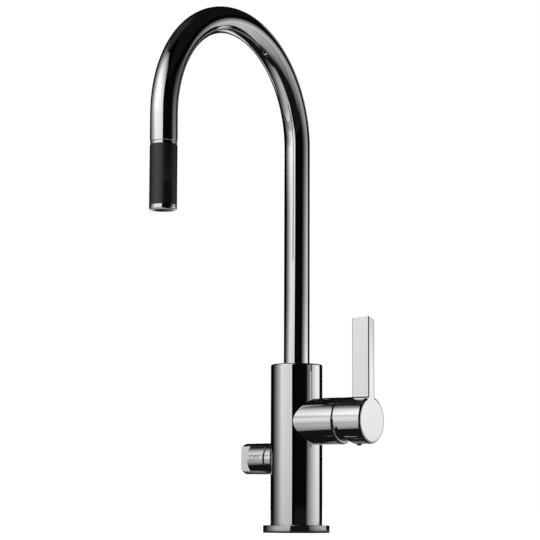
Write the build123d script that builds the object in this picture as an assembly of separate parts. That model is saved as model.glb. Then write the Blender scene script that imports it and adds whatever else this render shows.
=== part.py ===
from build123d import *
from math import cos, pi, radians, sin, sqrt, tan
import os

# Pull-out kitchen mixer tap, in millimetres.
# The origin is the centre of the underside, +Z is up and the spout reaches towards -Y.
# The mixer lever is on the +X side and the shut-off knob of the machine outlet on the -X side.

# Base and column
gasket_thickness = 1.5
flange_radius = 30.8
flange_thickness = 5.2
gasket_overlap = 10.2
column_radius = 24.0
column_wall = 2.4
column_top_round = 1.5
column_foot_round = 0.6

# Spout
spout_radius = 12.0
spout_wall = 1.5
spout_reach = 203.4
arch_height = 359.7
spout_leg_length = 24.7
spout_end_round = 0.4
spout_swing = 60.0

# Spout bearing in the top of the column
bearing_floor = 1.7
bearing_depth = 33.4
bearing_wall = 1.9
bearing_height = 4.5
bearing_flange = 1.5
sleeve_wall = 3.0
sleeve_top_gap = 0.9
top_ring_height = 6.4
top_ring_lap = 3.0
top_ring_gap = 0.3
stop_groove_depth = 1.5
stop_groove_height = 4.4
stop_point_radius = 1.6
stop_screw_radius = 2.5
stop_screw_length = 6.0
stop_screw_recess = 1.0
stop_point_gap = 0.3

# Pull-out hose
hose_radius = 6.0
hose_bore = 4.0
hose_passage_gap = 1.5
inlet_fitting_wall = 2.4
inlet_fitting_length = 22.0
inlet_thread_depth = 12.0
inlet_shoulder = 2.0
inlet_barb_gap = 0.9

# Water ways in the column
port_thread_radius = 4.5
port_depth = 14.0
channel_radius = 2.6
mixed_channel_radius = 2.5
channel_wall = 0.8
passage_wall = 1.5
port_block_thickness = 20.0
supply_port_angle = 41.0
stud_angle = 112.0
stud_thread_radius = 3.4
stud_depth = 18.0
seat_depth = 9.0
cartridge_port_circle = 7.4
cartridge_port_angle = 30.0
cartridge_port_radius = 2.4

# Side branch and the ceramic cartridge in it
branch_height = 102.0
branch_radius = 21.5
branch_wall = 3.2
branch_reach = 53.0
branch_round = 2.4
cartridge_radius = 17.4
cartridge_wall = 2.2
cartridge_length = 19.5
cartridge_base_thickness = 4.5
cartridge_lid_thickness = 2.2
nut_length = 4.2
nut_recess = 1.0
nut_inner_radius = 12.6
seal_radius = 3.7
seal_thickness = 1.2
fixed_disc_radius = 14.0
fixed_disc_thickness = 4.0
moving_disc_radius = 12.2
moving_disc_thickness = 3.2
mixing_recess_radius = 5.8
mixing_recess_depth = 1.6
mixing_recess_rim = 1.6
rotor_flange_radius = 14.8
rotor_flange_thickness = 2.4
rotor_neck_radius = 11.2
rotor_neck_end = 3.2
pivot_inset = 3.0
pivot_pin_radius = 1.6
rocker_arm = 10.5
rocker_ball_radius = 3.0
rocker_shank_radius = 2.5
rocker_shank_length = 5.5
rocker_socket_depth = 1.2
lever_tilt = 25.0
dome_radius = 19.3
dome_wall = 1.7
dome_foot_wall = 1.8
dome_opening_reach = 10.0

# Mixer lever
hub_gap = 0.8
hub_length = 29.4
hub_wall = 1.5
hub_face_thickness = 4.7
hub_face_round = 2.6
hub_lip_length = 2.8
hub_lip_step = 0.2
relief_rise = 1.2
relief_angle = 28.8
blade_width = 18.4
blade_thickness = 11.6
blade_top = 196.4
blade_top_drop = 3.6
blade_top_lean = 1.2
blade_edge_round = 1.2
blade_back_round = 3.6
blade_root_round = 2.5
spindle_width = 7.0
spindle_grip_length = 8.6
lever_boss_radius = 6.6
lever_boss_length = 13.7
lever_screw_radius = 2.0
lever_screw_length = 5.0
lever_screw_inset = 14.2
plug_radius = 2.9
plug_tip_radius = 2.0
plug_height = 1.2
plug_stem_radius = 2.1
plug_head_inset = 0.5

# Shut-off valve for the machine outlet
valve_height = 68.3
valve_radius = 14.45
valve_saddle_thickness = 0.8
valve_collar_reach = 27.3
valve_knob_gap = 1.2
valve_knob_length = 28.5
valve_knob_wall = 1.9
valve_knob_cavity = 7.5
valve_knob_round = 2.2
valve_rim_round = 0.8
valve_grip_length = 10.7
valve_grip_thickness = 17.4
valve_pocket_radius = 9.1
valve_pocket_inset = 11.3
valve_body_radius = 7.9
valve_thread_length = 3.2
valve_neck_length = 5.8
valve_bore_radius = 6.9
valve_disc_radius = 6.8
valve_disc_thickness = 2.8
valve_seal_thickness = 1.5
valve_seal_bore = 4.2
valve_outlet_width = 5.0
valve_spindle_radius = 4.0
valve_driver_thickness = 3.4
valve_square_width = 5.6
valve_square_length = 8.0
valve_ring_width = 1.6
valve_ring_depth = 0.9
knob_boss_radius = 6.4
knob_boss_gap = 1.0
knob_screw_radius = 2.0
knob_screw_length = 5.0

# Handset
handset_length = 59.5
handset_radius = 12.0
grip_wall = 1.3
grip_top_round = 1.2
top_trim_radius = 11.6
top_trim_height = 2.2
top_trim_gap = 0.4
bottom_trim_height = 4.1
bottom_trim_round = 1.6
bottom_spigot_length = 6.4
bottom_spigot_wall = 0.8
neck_radius = 9.6
neck_length = 17.4
neck_bore = 7.9
guide_length = 19.0
guide_lip_gap = 1.2
thread_bore = 7.6
nozzle_radius = 8.7
nozzle_wall = 1.1
nozzle_recess = 0.8
nozzle_height = 10.6
screen_recess = 0.5
screen_thickness = 1.2
screen_hole_radius = 0.5
screen_pitch = 1.6
screen_rings = 4
spreader_height = 7.0
spreader_thickness = 1.8
spreader_hole_radius = 0.8
spreader_holes = 12
spreader_circle = 5.0
nozzle_seal_thickness = 1.8
nozzle_seal_bore = 6.4
check_valve_radius = 6.9
check_valve_length = 12.0
check_valve_shoulder = 1.2
check_plunger_thickness = 2.0
check_valve_gap = 3.0
check_valve_bore = 4.4
hose_washer_thickness = 2.0
hose_washer_bore = 4.6
tail_collar_radius = 5.6
tail_collar_thickness = 1.8
tail_radius = 3.9
tail_wall = 0.9
tail_length = 20.0
cone_nut_length = 12.0
ferrule_wall = 1.0
ferrule_length = 18.0
ferrule_gap = 2.0

# Fits and cuts
seat_fit = 0.05
running_fit = 0.06
free_gap = 0.3
axial_gap = 0.1
overrun = 2.0
match = 0.01
upright = (Align.CENTER, Align.CENTER, Align.MIN)

# Places worked out from the sizes above
flange_top = gasket_thickness + flange_thickness
column_bore = column_radius - column_wall
core_radius = column_bore - seat_fit
branch_bore = branch_radius - branch_wall
core_top = branch_height + branch_bore + bearing_floor
column_top = core_top + bearing_depth
passage_radius = hose_radius + hose_passage_gap
port_circle = (passage_radius + core_radius) / 2
seat_face = column_radius - seat_depth
inlet_rise = cartridge_port_circle * sin(radians(cartridge_port_angle))
inlet_spread = cartridge_port_circle * cos(radians(cartridge_port_angle))
arch_radius = spout_reach / 2
spout_bore = spout_radius - spout_wall

sleeve_radius = spout_radius + sleeve_wall
bearing_inner = sleeve_radius + running_fit
bearing_outer = bearing_inner + bearing_wall
bearing_bore = bearing_outer + seat_fit
sleeve_bottom = core_top + bearing_flange + axial_gap
top_ring_bottom = column_top - top_ring_height
sleeve_top = top_ring_bottom - sleeve_top_gap
top_ring_radius = bearing_bore + top_ring_lap
stop_height = (sleeve_bottom + sleeve_top) / 2

nut_outer_end = branch_reach - nut_recess
nut_inner_end = nut_outer_end - nut_length
housing_start = nut_inner_end - cartridge_length
cartridge_start = housing_start - cartridge_base_thickness
fixed_disc_end = housing_start + fixed_disc_thickness
moving_disc_end = fixed_disc_end + moving_disc_thickness
rotor_flange_end = nut_inner_end - cartridge_lid_thickness - axial_gap
rotor_flange_start = rotor_flange_end - rotor_flange_thickness
pivot_reach = branch_reach - pivot_inset
ball_reach = pivot_reach - rocker_arm
disc_travel = rocker_arm * radians(lever_tilt)
hub_start = branch_reach + hub_gap
hub_end = hub_start + hub_length
hub_cavity_end = hub_end - hub_face_thickness
hub_bore = branch_radius - hub_wall
boss_start = hub_cavity_end - lever_boss_length
spindle_end = boss_start + spindle_grip_length
lever_screw_reach = hub_end - lever_screw_inset

valve_pocket_end = column_radius - valve_pocket_inset
valve_disc_start = valve_pocket_end + valve_seal_thickness
valve_moving_start = valve_disc_start + valve_disc_thickness
valve_driver_start = valve_moving_start + valve_disc_thickness
valve_driver_end = valve_driver_start + valve_driver_thickness
valve_neck_end = valve_collar_reach + valve_neck_length
valve_thread_start = valve_collar_reach - valve_thread_length
knob_start = valve_collar_reach + valve_knob_gap
knob_end = knob_start + valve_knob_length
knob_cavity_end = knob_start + valve_knob_cavity
knob_boss_start = valve_neck_end + knob_boss_gap
square_end = knob_boss_start + valve_square_length
knob_screw_reach = knob_boss_start + valve_square_length / 2

spout_end_height = arch_height - spout_leg_length
outlet_height = spout_end_height - handset_length
bottom_trim_top = outlet_height + bottom_trim_height
core_shoulder = spout_end_height - top_trim_gap - top_trim_height
handset_core_radius = handset_radius - grip_wall
spigot_inner = nozzle_radius + seat_fit
spigot_outer = spigot_inner + bottom_spigot_wall
spigot_top = bottom_trim_top + bottom_spigot_length
nozzle_bottom = outlet_height + nozzle_recess
nozzle_top = nozzle_bottom + nozzle_height
nozzle_seal_top = nozzle_top + nozzle_seal_thickness
check_valve_bottom = nozzle_seal_top + check_valve_gap
check_valve_top = check_valve_bottom + check_valve_length
washer_bottom = check_valve_top + check_valve_shoulder
washer_top = washer_bottom + hose_washer_thickness
tail_collar_top = washer_top + tail_collar_thickness
cone_nut_bottom = tail_collar_top + axial_gap
cone_nut_top = cone_nut_bottom + cone_nut_length
ferrule_bottom = cone_nut_top + ferrule_gap
ferrule_top = ferrule_bottom + ferrule_length
neck_top = core_shoulder + neck_length + top_trim_height
guide_bottom = spout_end_height + guide_lip_gap
guide_bore = neck_radius + running_fit

lever_axis = Pos(0, 0, branch_height) * Rot(0, 90, 0)
valve_axis = Pos(0, 0, valve_height) * Rot(0, -90, 0)
outlet_axis = Pos(0, -spout_reach, 0)


def turned(corners):
    """A solid turned about Z from its half outline, as (radius, height) corners."""
    outline = Polyline([(radius, 0, height) for radius, height in corners], close=True)
    return revolve(make_face(outline), Axis.Z)


def ring(outer, inner, low, high):
    """A plain ring about Z between two heights."""
    return turned([(inner, low), (outer, low), (outer, high), (inner, high)])


def rod(radius, low, high):
    """A plain round bar about Z between two heights."""
    return Pos(0, 0, low) * Cylinder(radius, high - low, align=upright)


def bar(width, depth, low, high):
    """A square-edged bar about Z between two heights."""
    return Pos(0, 0, low) * Box(width, depth, high - low, align=upright)


def rounded(solid, radius, test):
    """The solid with the edges that pass the test rounded."""
    return fillet([edge for edge in solid.edges() if test(edge)], radius)


def near(value, place):
    """True when a measured place is the wanted one."""
    return abs(value - place) < match


def circle_edge(radius, height):
    """A test for a full circle about Z with this radius at this height."""
    def test(edge):
        """True for the wanted circle."""
        if edge.geom_type != GeomType.CIRCLE:
            return False
        return near(edge.radius, radius) and near(edge.arc_center.Z, height)
    return test


def bend(radius):
    """Half a ring bar that follows the arch of the spout."""
    section = Plane.XY * Circle(radius)
    arch_line = Axis((0, -arch_radius, 0), (1, 0, 0))
    return Pos(0, 0, arch_height) * revolve(section, arch_line, 180)


def port_places():
    """Centres of the four threaded ports in the underside, by name."""
    side = port_circle * sin(radians(supply_port_angle))
    front = port_circle * cos(radians(supply_port_angle))
    return {
        "hot": (front, side),
        "cold": (front, -side),
        "mixed": (port_circle, 0),
        "machine": (-port_circle, 0),
    }


def make_base():
    """The rubber gasket and the chromed flange that the column stands on."""
    gasket = ring(flange_radius, flange_radius - gasket_overlap, 0, gasket_thickness)
    flange = ring(flange_radius, column_bore, gasket_thickness, flange_top)
    return {"base_gasket": gasket, "base_flange": flange}


def make_column_shell():
    """The chromed brass tube of the column, open where the branch and the valve enter."""
    shell = rod(column_radius, flange_top, column_top)
    shell = rounded(shell, column_top_round, circle_edge(column_radius, column_top))
    shell = rounded(shell, column_foot_round, circle_edge(column_radius, flange_top))
    shell -= rod(column_bore, flange_top - overrun, core_top)
    shell -= rod(bearing_bore, core_top - overrun, column_top + overrun)
    shell -= rod(top_ring_radius, top_ring_bottom, column_top + overrun)
    shell -= lever_axis * rod(branch_bore, seat_face, column_radius + overrun)
    shell -= valve_axis * rod(valve_pocket_radius, valve_pocket_end, column_radius + overrun)
    stop_place = Pos(0, 0, stop_height) * Rot(-90, 0, 0)
    shell -= stop_place * rod(stop_screw_radius, 0, column_radius + overrun)
    return {"column_shell": shell}


def make_side_branch():
    """The short tube brazed on the column's side that holds the cartridge."""
    branch = rod(branch_radius, 0, branch_reach)
    branch = rounded(branch, branch_round, circle_edge(branch_radius, branch_reach))
    branch -= rod(branch_bore, -overrun, branch_reach + overrun)
    return {"side_branch": lever_axis * branch - rod(column_radius, flange_top, column_top)}


def make_waterways():
    """The brass block with the threaded ports, and the core with the channels above it."""
    core = rod(core_radius, gasket_thickness, core_top)
    core -= rod(passage_radius, 0, core_top + overrun)
    core -= lever_axis * rod(branch_bore, seat_face, branch_reach)
    core -= valve_axis * rod(valve_pocket_radius, valve_pocket_end, branch_reach)
    places = port_places()
    port_top = gasket_thickness + port_depth
    for x, y in places.values():
        core -= Pos(x, y, 0) * rod(port_thread_radius, 0, port_top)
    for turn in (-stud_angle, stud_angle):
        place = Rot(0, 0, turn) * Pos(port_circle, 0, 0)
        core -= place * rod(stud_thread_radius, 0, gasket_thickness + stud_depth)
    supply_top = branch_height + inlet_rise + channel_radius
    channel_low = port_top - overrun
    for name, side in (("hot", 1), ("cold", -1)):
        x, y = places[name]
        core -= Pos(x, y, 0) * rod(channel_radius, channel_low, supply_top)
        inlet = Pos(0, side * inlet_spread, branch_height + inlet_rise) * Rot(0, 90, 0)
        core -= inlet * rod(cartridge_port_radius, x - channel_radius, seat_face + overrun)
    mixed_x = (passage_radius + seat_face) / 2
    mixed_top = branch_height - cartridge_port_circle
    core -= Pos(mixed_x, 0, 0) * rod(mixed_channel_radius, channel_low, mixed_top)
    mixed = Pos(0, 0, mixed_top) * Rot(0, 90, 0)
    core -= mixed * rod(mixed_channel_radius, mixed_x, seat_face + overrun)
    core -= make_valve_channels(places)
    joint = Plane(origin=(0, 0, gasket_thickness + port_block_thickness))
    return {
        "port_block": split(core, bisect_by=joint, keep=Keep.BOTTOM),
        "waterway_core": split(core, bisect_by=joint, keep=Keep.TOP),
    }


def make_valve_channels(places):
    """The drillings that lead cold water round the hose to the shut-off valve and down again."""
    cold_x = places["cold"][0]
    bore = (valve_pocket_end - passage_radius) / 2 - channel_wall
    turn_x = -(valve_pocket_end + passage_radius) / 2
    run_y = -(passage_radius + bore + passage_wall)
    run = Pos(0, run_y, valve_height) * Rot(0, 90, 0) * rod(bore, turn_x, cold_x)
    across = Pos(turn_x, 0, valve_height) * Rot(90, 0, 0) * rod(bore, 0, -run_y)
    machine_x = places["machine"][0]
    down_low = gasket_thickness + port_depth - overrun
    down = Pos(machine_x, 0, 0) * rod(channel_radius, down_low, valve_height)
    mouth = valve_axis * rod(valve_seal_bore, -turn_x, valve_pocket_end + overrun)
    return run + across + down + mouth


def make_spout_bearing():
    """The plastic bearing rings, the top ring and the stop screw in the column."""
    lower = turned([
        (spout_bore, core_top),
        (bearing_outer, core_top),
        (bearing_outer, core_top + bearing_flange + bearing_height),
        (bearing_inner, core_top + bearing_flange + bearing_height),
        (bearing_inner, core_top + bearing_flange),
        (spout_bore, core_top + bearing_flange),
    ])
    upper = ring(bearing_outer, bearing_inner, sleeve_top - bearing_height, sleeve_top)
    top = ring(top_ring_radius - seat_fit, spout_radius + top_ring_gap, top_ring_bottom, column_top)
    screw_end = column_radius - stop_screw_recess
    point_end = sleeve_radius - stop_groove_depth + stop_point_gap
    screw = rod(stop_screw_radius, screw_end - stop_screw_length, screw_end)
    screw += rod(stop_point_radius, point_end, screw_end)
    socket = RegularPolygon(stop_point_radius, 6)
    screw -= Pos(0, 0, screw_end - stop_point_radius) * extrude(socket, 2 * stop_point_radius)
    screw = Pos(0, 0, stop_height) * Rot(-90, 0, 0) * screw
    return {
        "lower_bearing": lower,
        "upper_bearing": upper,
        "column_top_ring": top,
        "spout_stop_screw": screw,
    }


def make_spout():
    """The bent chromed tube and the brass sleeve brazed on its foot."""
    tube = rod(spout_radius, sleeve_bottom, arch_height) + bend(spout_radius)
    end = rod(spout_radius, spout_end_height, arch_height)
    end = rounded(end, spout_end_round, circle_edge(spout_radius, spout_end_height))
    tube += outlet_axis * end
    tube -= rod(spout_bore, sleeve_bottom - overrun, arch_height) + bend(spout_bore)
    tube -= outlet_axis * rod(spout_bore, spout_end_height - overrun, arch_height)
    sleeve = ring(sleeve_radius, spout_radius, sleeve_bottom, sleeve_top)
    half_slot = stop_groove_height / 2
    point_angle = stop_point_radius / (sleeve_radius - stop_groove_depth) * 180 / pi
    slot_angle = spout_swing + point_angle + axial_gap * 180 / pi / sleeve_radius
    slot_face = make_face(Polyline([
        (sleeve_radius - stop_groove_depth, 0, stop_height - half_slot),
        (sleeve_radius + overrun, 0, stop_height - half_slot),
        (sleeve_radius + overrun, 0, stop_height + half_slot),
        (sleeve_radius - stop_groove_depth, 0, stop_height + half_slot),
    ], close=True))
    slot = revolve(slot_face, Axis.Z, 2 * slot_angle)
    sleeve -= Rot(0, 0, 90 - slot_angle) * slot
    guide = ring(spout_bore - seat_fit, guide_bore, guide_bottom, guide_bottom + guide_length)
    return {"spout_tube": tube, "spout_sleeve": sleeve, "docking_guide": outlet_axis * guide}


def make_hose():
    """The hose that runs up the column and through the arch, with its inlet fitting."""
    foot = gasket_thickness + inlet_fitting_length
    inner_foot = gasket_thickness + inlet_thread_depth
    hose_start = inner_foot + inlet_shoulder
    fitting_radius = port_thread_radius + inlet_fitting_wall
    fitting = rod(fitting_radius, gasket_thickness, foot)
    fitting -= rod(port_thread_radius, 0, inner_foot)
    fitting -= rod(hose_bore - inlet_barb_gap, 0, foot + overrun)
    fitting -= ring(hose_radius, hose_bore, hose_start, foot + overrun)
    hose = rod(hose_radius, hose_start, arch_height) + bend(hose_radius)
    hose -= rod(hose_bore, 0, arch_height) + bend(hose_bore)
    section = pi * (hose_radius**2 - hose_bore**2)
    length = arch_height - hose_start + pi * arch_radius
    print(f"hose arc radius {arch_radius:.1f}, length {length:.1f}")
    print(f"hose volume {hose.volume:.1f}, section times length {section * length:.1f}")
    free_end = ring(hose_radius, hose_bore, ferrule_bottom + ferrule_wall, arch_height)
    return {
        "hose_inlet_fitting": fitting,
        "pull_out_hose": hose,
        "hose_free_end": outlet_axis * free_end,
    }


def make_hose_end():
    """The crimped ferrule and the brass tail that the handset swivels on."""
    ferrule_bore = hose_radius + seat_fit
    ferrule = turned([
        (tail_radius, ferrule_bottom),
        (ferrule_bore + ferrule_wall, ferrule_bottom),
        (ferrule_bore + ferrule_wall, ferrule_top),
        (ferrule_bore, ferrule_top),
        (ferrule_bore, ferrule_bottom + ferrule_wall),
        (tail_radius, ferrule_bottom + ferrule_wall),
    ])
    tail = ring(tail_radius, tail_radius - tail_wall, tail_collar_top, ferrule_bottom + tail_length)
    tail += ring(tail_collar_radius, tail_radius - tail_wall, washer_top, tail_collar_top)
    return {"hose_ferrule": outlet_axis * ferrule, "hose_tail": outlet_axis * tail}


def make_handset_core():
    """The brass body of the handset with its docking neck, nozzle seat and hose thread."""
    core = turned([
        (spigot_outer + seat_fit, bottom_trim_top),
        (handset_core_radius, bottom_trim_top),
        (handset_core_radius, core_shoulder),
        (neck_radius, core_shoulder),
        (neck_radius, neck_top),
        (neck_bore, neck_top),
        (neck_bore, cone_nut_top),
        (thread_bore, cone_nut_top),
        (thread_bore, washer_bottom),
        (hose_washer_bore, washer_bottom),
        (hose_washer_bore, check_valve_top),
        (check_valve_radius + seat_fit, check_valve_top),
        (check_valve_radius + seat_fit, nozzle_seal_top),
        (spigot_outer + seat_fit, nozzle_seal_top),
    ])
    return {"handset_core": outlet_axis * core}


def make_handset_skin():
    """The rubber grip and the two chromed rings that close it."""
    grip = ring(handset_radius, handset_core_radius, bottom_trim_top, core_shoulder)
    grip = rounded(grip, grip_top_round, circle_edge(handset_radius, core_shoulder))
    top = ring(top_trim_radius, neck_radius, core_shoulder, core_shoulder + top_trim_height)
    bottom = ring(handset_radius, spigot_inner, outlet_height, bottom_trim_top)
    bottom = rounded(bottom, bottom_trim_round, circle_edge(handset_radius, outlet_height))
    bottom += ring(spigot_outer, spigot_inner, bottom_trim_top, spigot_top)
    return {
        "grip_sleeve": outlet_axis * grip,
        "handset_top_ring": outlet_axis * top,
        "handset_bottom_ring": outlet_axis * bottom,
    }


def make_nozzle():
    """The aerator: its housing, the perforated screen, the spreader and the seal."""
    bore = nozzle_radius - nozzle_wall
    screen_bottom = nozzle_bottom + screen_recess
    spreader_bottom = nozzle_bottom + spreader_height
    housing = ring(nozzle_radius, bore, nozzle_bottom, nozzle_top)
    screen = rod(bore, screen_bottom, screen_bottom + screen_thickness)
    hole = rod(screen_hole_radius, screen_bottom - overrun, screen_bottom + overrun)
    screen -= hole
    for count in range(1, screen_rings + 1):
        circle = PolarLocations(count * screen_pitch, 6 * count)
        screen -= [place * hole for place in circle]
    spreader = rod(bore, spreader_bottom, spreader_bottom + spreader_thickness)
    jet = rod(spreader_hole_radius, spreader_bottom - overrun, spreader_bottom + 2 * overrun)
    spreader -= [place * jet for place in PolarLocations(spreader_circle, spreader_holes)]
    seal = ring(nozzle_radius, nozzle_seal_bore, nozzle_top, nozzle_seal_top)
    return {
        "aerator_housing": outlet_axis * housing,
        "aerator_screen": outlet_axis * screen,
        "aerator_spreader": outlet_axis * spreader,
        "aerator_seal": outlet_axis * seal,
    }


def make_handset_inlet():
    """The check valve, the flat washer and the cone nut in the top of the handset."""
    check = ring(check_valve_radius, check_valve_bore, check_valve_bottom, check_valve_top)
    plunger_low = check_valve_bottom + check_valve_gap
    check += rod(check_valve_bore, plunger_low, plunger_low + check_plunger_thickness)
    washer = ring(thread_bore - seat_fit, hose_washer_bore, washer_bottom, washer_top)
    nut = ring(thread_bore - seat_fit, tail_radius + free_gap, cone_nut_bottom, cone_nut_top)
    return {
        "check_valve": outlet_axis * check,
        "hose_washer": outlet_axis * washer,
        "hose_cone_nut": outlet_axis * nut,
    }


def cartridge_holes(low, high, radius):
    """The two inlets and the outlet of the cartridge, along its own axis."""
    spots = [
        (-inlet_rise, inlet_spread),
        (-inlet_rise, -inlet_spread),
        (cartridge_port_circle, 0),
    ]
    return [Pos(x, y, 0) * rod(radius, low, high) for x, y in spots]


def make_cartridge_body():
    """The seat block, the seals, the base, the housing, the fixed disc and the nut."""
    low = seat_face - overrun
    block = rod(branch_bore - seat_fit, seat_face, cartridge_start)
    block -= cartridge_holes(low, cartridge_start + overrun, cartridge_port_radius)
    base = rod(cartridge_radius, cartridge_start, housing_start)
    base -= cartridge_holes(low, housing_start + overrun, cartridge_port_radius)
    base -= cartridge_holes(low, cartridge_start + seal_thickness, seal_radius)
    seals = [
        washer - bore
        for washer, bore in zip(
            cartridge_holes(cartridge_start, cartridge_start + seal_thickness, seal_radius),
            cartridge_holes(low, housing_start, cartridge_port_radius),
        )
    ]
    disc = rod(fixed_disc_radius, housing_start, fixed_disc_end)
    disc -= cartridge_holes(low, fixed_disc_end + overrun, cartridge_port_radius)
    lid = nut_inner_end - cartridge_lid_thickness
    housing = rod(cartridge_radius, housing_start, nut_inner_end)
    housing -= rod(fixed_disc_radius + seat_fit, low, fixed_disc_end)
    housing -= rod(cartridge_radius - cartridge_wall, fixed_disc_end, lid)
    housing -= rod(rotor_neck_radius + running_fit, lid - overrun, nut_inner_end + overrun)
    nut = ring(branch_bore - seat_fit, nut_inner_radius, nut_inner_end, nut_outer_end)
    return {
        "cartridge_seat_block": lever_axis * block,
        "cartridge_seals": lever_axis * Compound(children=seals),
        "cartridge_base": lever_axis * base,
        "cartridge_housing": lever_axis * housing,
        "fixed_ceramic_disc": lever_axis * disc,
        "cartridge_nut": lever_axis * nut,
    }


def make_dome():
    """The chromed dome over the cartridge, a ball about the lever's pivot."""
    centre = Pos(0, 0, pivot_reach)
    shell = centre * Sphere(dome_radius) - centre * Sphere(dome_radius - dome_wall)
    shell &= rod(dome_radius, branch_reach, pivot_reach + dome_opening_reach)
    foot_outer = branch_bore - seat_fit
    foot = ring(foot_outer, foot_outer - dome_foot_wall, nut_outer_end, branch_reach + dome_wall)
    return {"cartridge_dome": lever_axis * (shell + foot)}


def make_rotor():
    """The part of the cartridge that turns with the lever, and its pivot pin."""
    rotor_end = branch_reach + rotor_neck_end
    rotor = rod(rotor_flange_radius, rotor_flange_start, rotor_flange_end)
    rotor += rod(rotor_neck_radius, rotor_flange_start, rotor_end)
    half_bar = spindle_width / 2 / cos(radians(lever_tilt))
    swing = max(rotor_end - pivot_reach, pivot_reach - rotor_flange_start)
    slot_height = 2 * (half_bar + swing * tan(radians(lever_tilt)) + free_gap)
    slot_low = rotor_flange_start - overrun
    rotor -= bar(slot_height, spindle_width + 2 * free_gap, slot_low, rotor_end + overrun)
    pin_half = sqrt(rotor_neck_radius**2 - pivot_pin_radius**2) - free_gap
    pin = Pos(0, 0, pivot_reach) * Rot(90, 0, 0) * rod(pivot_pin_radius, -pin_half, pin_half)
    rotor -= pin
    return {"cartridge_rotor": lever_axis * rotor, "pivot_pin": lever_axis * pin}


def make_moving_disc():
    """The sliding ceramic disc and the driver that the lever's ball end pushes."""
    rest = Pos(disc_travel / 2, 0, 0)
    disc = rest * rod(moving_disc_radius, fixed_disc_end, moving_disc_end)
    low = fixed_disc_end - overrun
    high = fixed_disc_end + mixing_recess_depth
    reach = moving_disc_radius - mixing_recess_rim
    recess = rod(mixing_recess_radius, low, high)
    recess += Pos(reach / 2, 0, 0) * bar(reach, 2 * cartridge_port_radius, low, high)
    disc -= rest * recess
    driver_end = rotor_flange_start - free_gap
    driver = rest * rod(moving_disc_radius, moving_disc_end, driver_end)
    socket_width = 2 * (rocker_ball_radius + free_gap)
    socket_low = ball_reach - rocker_ball_radius - free_gap
    driver -= bar(socket_width, socket_width, socket_low, driver_end + overrun)
    lean = radians(lever_tilt)
    sway = (driver_end - ball_reach) * tan(lean) + rocker_shank_radius / cos(lean) + free_gap
    driver -= bar(2 * sway, socket_width, ball_reach + rocker_socket_depth, driver_end + overrun)
    return {"moving_ceramic_disc": lever_axis * disc, "disc_driver": lever_axis * driver}


def make_spindle():
    """The steel rocker: a ball in the driver, an eye on the pin, a square in the lever."""
    shank_end = ball_reach + rocker_shank_length
    spindle = Pos(0, 0, ball_reach) * Sphere(rocker_ball_radius)
    spindle += rod(rocker_shank_radius, ball_reach, shank_end + overrun)
    spindle += bar(spindle_width, spindle_width, shank_end, spindle_end)
    eye = rod(pivot_pin_radius + running_fit, -spindle_width, spindle_width)
    spindle -= Pos(0, 0, pivot_reach) * Rot(90, 0, 0) * eye
    return {"lever_spindle": lever_axis * spindle}


def make_lever_handle():
    """The chromed lever: a hollow hub with a flat upright blade cast on it."""
    hub = turned([
        (0, hub_start),
        (branch_radius - hub_lip_step, hub_start),
        (branch_radius - hub_lip_step, hub_start + hub_lip_length),
        (branch_radius, hub_start + hub_lip_length + hub_lip_step),
        (branch_radius, hub_end),
        (0, hub_end),
    ])
    hub = rounded(hub, hub_face_round, circle_edge(branch_radius, hub_end))
    handle = lever_axis * hub + make_blade()
    cavity = rod(hub_bore, hub_start - overrun, hub_cavity_end)
    cavity -= rod(lever_boss_radius, boss_start, hub_cavity_end)
    handle -= lever_axis * cavity
    square = spindle_width + 2 * seat_fit
    handle -= lever_axis * bar(square, square, boss_start - overrun, spindle_end + free_gap)
    handle -= make_relief()
    screw_place = Pos(lever_screw_reach, 0, branch_height) * Rot(180, 0, 0)
    handle -= screw_place * rod(lever_screw_radius + seat_fit, 0, lever_boss_radius + overrun)
    handle -= screw_place * rod(plug_stem_radius + seat_fit, lever_boss_radius, branch_radius + overrun)
    return {"lever_handle": handle}


def make_blade():
    """The upright blade with its rounded root, crisp in front and softer at the back."""
    half = blade_thickness / 2
    root_side = half + blade_root_round
    clip_half = root_side * branch_radius / (branch_radius + blade_root_round)
    root_height = sqrt(branch_radius**2 - half**2)
    outline = Circle(branch_radius) + Pos(0, blade_top / 2) * Rectangle(blade_thickness, blade_top)
    roots = [v for v in outline.vertices() if near(abs(v.X), half) and near(v.Y, root_height)]
    outline = fillet(roots, blade_root_round)
    outline &= Pos(0, blade_top / 2) * Rectangle(2 * clip_half, blade_top)
    inner_face = Plane(
        origin=(hub_end - blade_width, 0, branch_height), x_dir=(0, 1, 0), z_dir=(1, 0, 0)
    )
    blade = inner_face * extrude(outline, blade_width)
    slope = (-blade_top_lean / blade_width, blade_top_drop / blade_thickness, 1)
    top_face = Plane(origin=(hub_end, -half, blade_top), z_dir=slope)
    blade = split(blade, bisect_by=top_face, keep=Keep.BOTTOM)
    blade = rounded(blade, blade_back_round, upright_edge(half))
    return rounded(blade, blade_edge_round, upright_edge(-half))


def upright_edge(side):
    """A test for a straight upright edge of the blade on this side."""
    def test(edge):
        """True for the wanted edge."""
        box = edge.bounding_box()
        return near(box.min.Y, side) and near(box.max.Y, side) and box.size.Z > branch_radius
    return test


def make_relief():
    """The slanted cut under the back of the hub that lets the lever tilt."""
    top = branch_height + relief_rise
    below = branch_height - branch_radius - overrun
    slope = tan(radians(relief_angle))
    side = make_face(Polyline([
        (hub_start, 0, top),
        (hub_start + slope * (top - below), 0, below),
        (hub_start - overrun, 0, below),
        (hub_start - overrun, 0, top),
    ], close=True))
    return extrude(side, branch_radius + overrun, dir=(0, 1, 0), both=True)


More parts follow.
